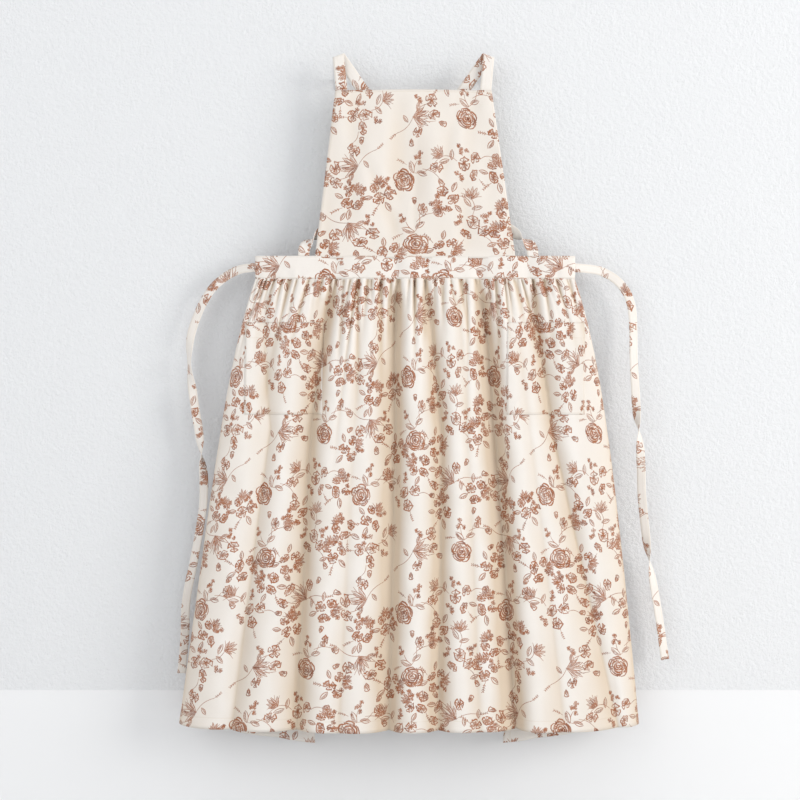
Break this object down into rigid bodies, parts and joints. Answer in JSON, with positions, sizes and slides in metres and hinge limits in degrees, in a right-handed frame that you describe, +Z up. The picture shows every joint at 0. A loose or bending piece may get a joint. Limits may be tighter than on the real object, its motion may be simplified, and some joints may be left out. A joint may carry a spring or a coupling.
{
  "type": "cross-back pinafore apron on wall hooks",
  "caption": "Long printed cotton pinafore apron with a bib, gathered wrap skirt, patch pockets, side ties and cross-back straps, hanging by its shoulder straps on wall hooks.",
  "frame": {"origin": "on the wall plane, midway between the two hook plates, at their mid height", "axes": "+X to the right seen from the front, +Z up, -Y out of the wall towards the viewer; the cloth hangs in front of the wall at -Y"},
  "size_m": [0.8584, 0.1474, 1.186],
  "materials": {
    "printed_cotton": "plain-woven cream cotton with a reddish-brown line print of flowers and bows",
    "plain_lining": "plain-woven unprinted cream cotton",
    "hook_steel": "satin nickel-plated steel"
  },
  "bodies": {
    "hooks": {"hook_plate_left": "hook_steel", "hook_plate_right": "hook_steel", "hook_prong_left": "hook_steel", "hook_prong_right": "hook_steel", "hook_screw_left_upper": "hook_steel", "hook_screw_left_lower": "hook_steel", "hook_screw_right_upper": "hook_steel", "hook_screw_right_lower": "hook_steel"},
    "apron": {"bib_front": "printed_cotton", "bib_lining": "plain_lining", "shoulder_strap_left": "printed_cotton", "shoulder_strap_right": "printed_cotton", "waistband_front": "printed_cotton", "waistband_lining": "plain_lining", "skirt_front": "printed_cotton", "patch_pocket_left": "printed_cotton", "patch_pocket_right": "printed_cotton"},
    "back_left": {"skirt_back_left": "printed_cotton", "waistband_back_left": "printed_cotton", "waistband_back_lining_left": "plain_lining"},
    "back_right": {"skirt_back_right": "printed_cotton", "waistband_back_right": "printed_cotton", "waistband_back_lining_right": "plain_lining"},
    "tie_left": {"waist_tie_left": "printed_cotton"},
    "tie_right": {"waist_tie_right": "printed_cotton"}
  },
  "joints": [
    {"name": "apron_lift", "type": "slide", "parent": "hooks", "child": "apron", "axis": [0, 0, 1], "range_m": [0, 0.15]},
    {"name": "back_left_swing", "type": "hinge", "parent": "apron", "child": "back_left", "pos_m": [-0.2875, -0.0493, -0.3478], "axis": [0.1759, 0.0077, 0.9844], "range_deg": [0, 6]},
    {"name": "back_right_swing", "type": "hinge", "parent": "apron", "child": "back_right", "pos_m": [0.2935, -0.0493, -0.3478], "axis": [0.1508, -0.0078, -0.9885], "range_deg": [0, 6]},
    {"name": "tie_left_swing", "type": "hinge", "parent": "apron", "child": "tie_left", "pos_m": [-0.27615, -0.0493, -0.3283], "axis": [0, 1, 0], "range_deg": [0, 45]},
    {"name": "tie_right_swing", "type": "hinge", "parent": "apron", "child": "tie_right", "pos_m": [0.28215, -0.0493, -0.3283], "axis": [0, -1, 0], "range_deg": [0, 45]}
  ]
}
